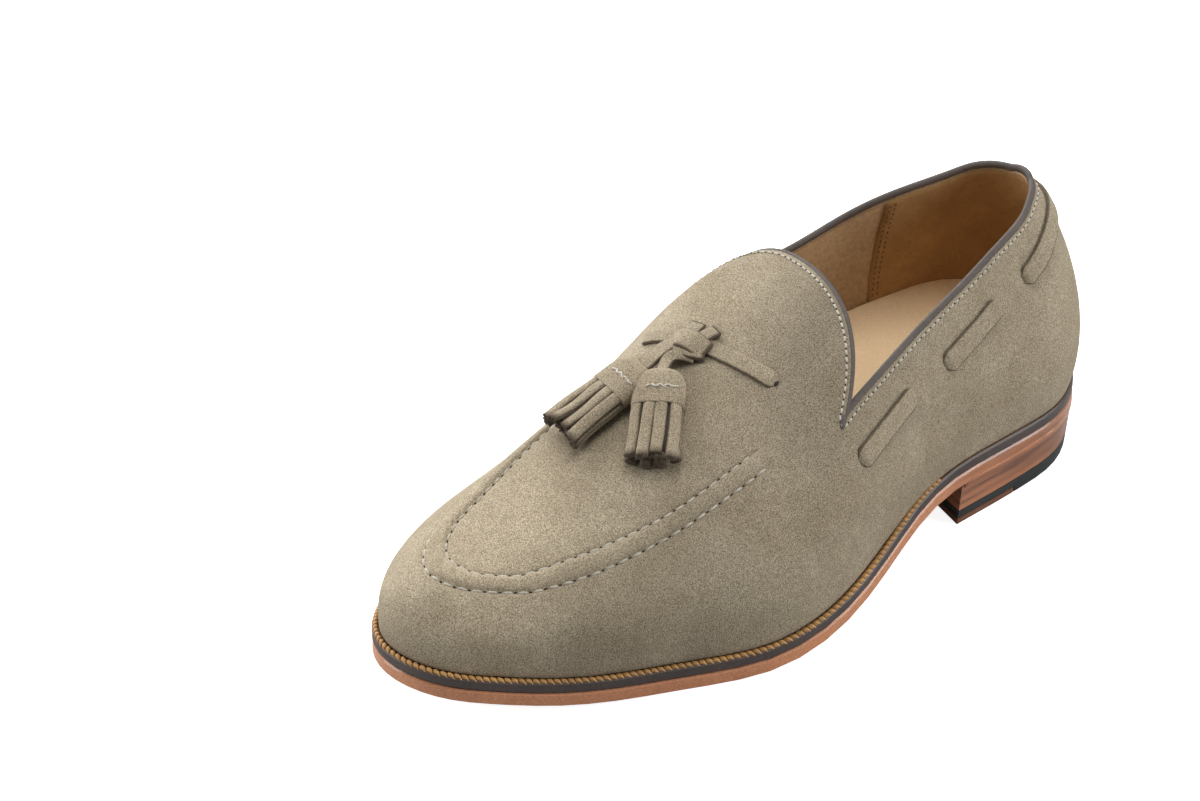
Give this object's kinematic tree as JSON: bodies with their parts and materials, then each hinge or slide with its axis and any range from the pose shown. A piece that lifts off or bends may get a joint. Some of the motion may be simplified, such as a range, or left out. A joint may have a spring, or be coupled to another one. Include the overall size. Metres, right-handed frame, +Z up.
{
  "type": "tassel loafer shoe",
  "caption": "Left suede slip-on shoe with an apron seam, knotted lace with tassels, lace through collar slots, leather sole and stacked heel.",
  "frame": {"origin": "on the floor, under the middle of the shoe's bounding box", "axes": "+Y from toe to heel, +X towards the outer (little toe) side, +Z up"},
  "size_m": [0.113, 0.293, 0.1068],
  "materials": {
    "suede": "fine napped suede, matt",
    "binding_leather": "soft satin",
    "lining_leather": "smooth, satin",
    "welt_leather": "dark, waxed",
    "sole_leather": "dense, fine grain, satin",
    "heel_leather": "stacked layers, polished",
    "heel_rubber": "satin"
  },
  "bodies": {
    "root": {"upper": "suede", "side_strap_lateral_front": "suede", "side_strap_lateral_rear": "suede", "side_strap_medial_front": "suede", "side_strap_medial_rear": "suede", "back_strap": "suede", "vamp_strap": "suede", "knot": "suede", "cord_right": "suede", "cord_left": "suede", "tassel_right": "suede", "tassel_left": "suede", "collar_binding": "binding_leather", "insole": "lining_leather", "welt": "welt_leather", "outsole": "sole_leather", "heel_stack": "heel_leather", "heel_rubber": "heel_rubber", "heel_top_piece": "sole_leather"}
  },
  "joints": []
}
